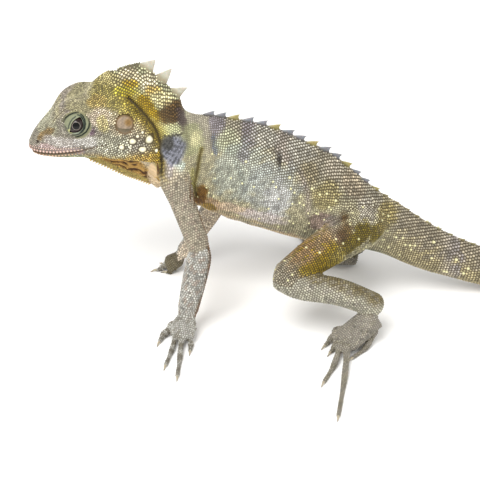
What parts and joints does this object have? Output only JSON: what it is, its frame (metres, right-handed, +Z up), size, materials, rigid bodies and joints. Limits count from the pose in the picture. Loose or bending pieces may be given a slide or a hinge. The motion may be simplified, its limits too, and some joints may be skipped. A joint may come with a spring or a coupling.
{
  "type": "boyds forest dragon",
  "caption": "Life-size standing forest lizard with raised head, wedge-shaped gular pouch, nuchal and dorsal crest of backward spines, long clawed digits and a long tail laid on the floor.",
  "frame": {"origin": "centre of the bounding box at floor level", "axes": "the head points along -X and the tail along +X, the animal's left side faces -Y, +Z up from the floor"},
  "size_m": [0.4328, 0.1582, 0.1053],
  "materials": {
    "olive_skin": "matt scaly skin",
    "grey_skin": "matt scaly skin",
    "pouch_skin": "matt wrinkled skin",
    "claw_horn": "smooth horn",
    "eye": "wet gloss",
    "eardrum": "thin satin skin"
  },
  "bodies": {
    "root": {"head": "olive_skin", "lower_jaw": "olive_skin", "neck": "olive_skin", "gular_pouch": "pouch_skin", "torso": "olive_skin", "tail_1": "olive_skin", "tail_2": "olive_skin", "tail_3": "olive_skin", "tail_4": "olive_skin", "tail_5": "olive_skin", "upper_arm_left": "grey_skin", "upper_arm_right": "grey_skin", "forearm_left": "grey_skin", "forearm_right": "grey_skin", "hand_left": "grey_skin", "hand_right": "grey_skin", "thigh_left": "grey_skin", "thigh_right": "grey_skin", "shin_left": "grey_skin", "shin_right": "grey_skin", "foot_left": "grey_skin", "foot_right": "grey_skin", "claw_hand_left_1": "claw_horn", "claw_hand_left_2": "claw_horn", "claw_hand_left_3": "claw_horn", "claw_hand_left_4": "claw_horn", "claw_hand_left_5": "claw_horn", "claw_hand_right_1": "claw_horn", "claw_hand_right_2": "claw_horn", "claw_hand_right_3": "claw_horn", "claw_hand_right_4": "claw_horn", "claw_hand_right_5": "claw_horn", "claw_foot_left_1": "claw_horn", "claw_foot_left_2": "claw_horn", "claw_foot_left_3": "claw_horn", "claw_foot_left_4": "claw_horn", "claw_foot_left_5": "claw_horn", "claw_foot_right_1": "claw_horn", "claw_foot_right_2": "claw_horn", "claw_foot_right_3": "claw_horn", "claw_foot_right_4": "claw_horn", "claw_foot_right_5": "claw_horn", "eye_left": "eye", "eye_right": "eye", "ear_left": "eardrum", "ear_right": "eardrum"}
  },
  "joints": []
}
